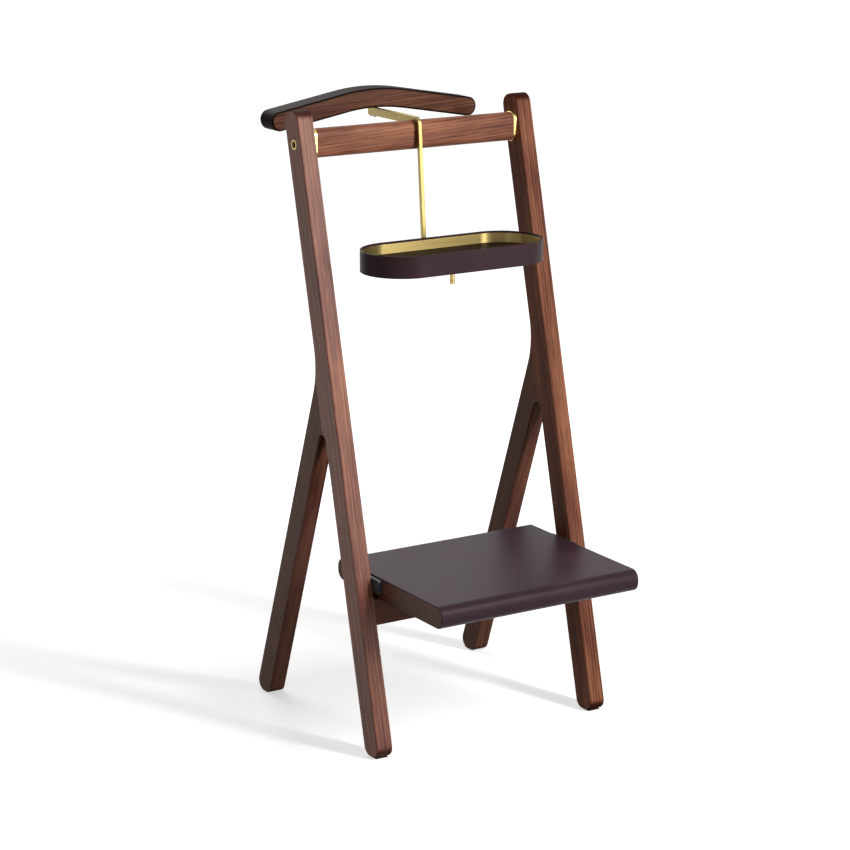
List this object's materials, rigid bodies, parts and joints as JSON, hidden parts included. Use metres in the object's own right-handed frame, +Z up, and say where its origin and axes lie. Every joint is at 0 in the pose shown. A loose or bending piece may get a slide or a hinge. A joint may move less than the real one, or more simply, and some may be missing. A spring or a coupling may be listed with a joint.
{
  "type": "valet stand",
  "caption": "Free-standing clothes valet with forked wooden side frames, a crossbar, a curved hanger on a brass bar, a swivelling tray and a leather-wrapped shelf.",
  "frame": {"origin": "on the floor, below the middle of the stand's width and depth", "axes": "+X to the stand's right seen from the front, +Y from the shelf's front edge to the hanger, +Z up"},
  "size_m": [0.4826, 0.595, 1.1101],
  "materials": {
    "walnut": "dark oiled walnut, satin, straight grain along each piece",
    "leather": "smooth plum-brown saddle leather, satin",
    "brass": "satin brass",
    "steel": "plain steel fasteners",
    "dark_plate": "dark grey satin plate",
    "dowel": "plain beech",
    "glide": "dark felt",
    "board": "stained board"
  },
  "bodies": {
    "frame": {"left_upright": "walnut", "right_upright": "walnut", "left_rear_leg": "walnut", "right_rear_leg": "walnut", "crossbar": "walnut", "lower_rail": "walnut", "hanger_body": "walnut", "shelf_core": "walnut", "hanger_band": "leather", "shelf_leather": "leather", "left_collar": "brass", "right_collar": "brass", "bolt_ferrules": "brass", "valet_bar": "brass", "crossbar_bolts": "steel", "crossbar_inserts": "steel", "bar_screws": "steel", "hanger_screws": "steel", "plate_screws": "steel", "shelf_screws": "steel", "left_shelf_plate": "dark_plate", "right_shelf_plate": "dark_plate", "left_leg_dowels": "dowel", "right_leg_dowels": "dowel", "rail_dowels": "dowel", "foot_glides": "glide"},
    "tray": {"tray_base": "board", "tray_pan": "brass", "tray_band": "leather", "tray_liner": "leather", "pivot_pin": "brass", "pivot_screws": "steel", "pivot_nut": "brass", "pivot_cap": "brass"}
  },
  "joints": [
    {"name": "tray_swivel", "type": "hinge", "parent": "frame", "child": "tray", "pos_m": [0, -0.0063, 0.8223], "axis": [0, 0, 1], "range_deg": [-30, 30]}
  ]
}
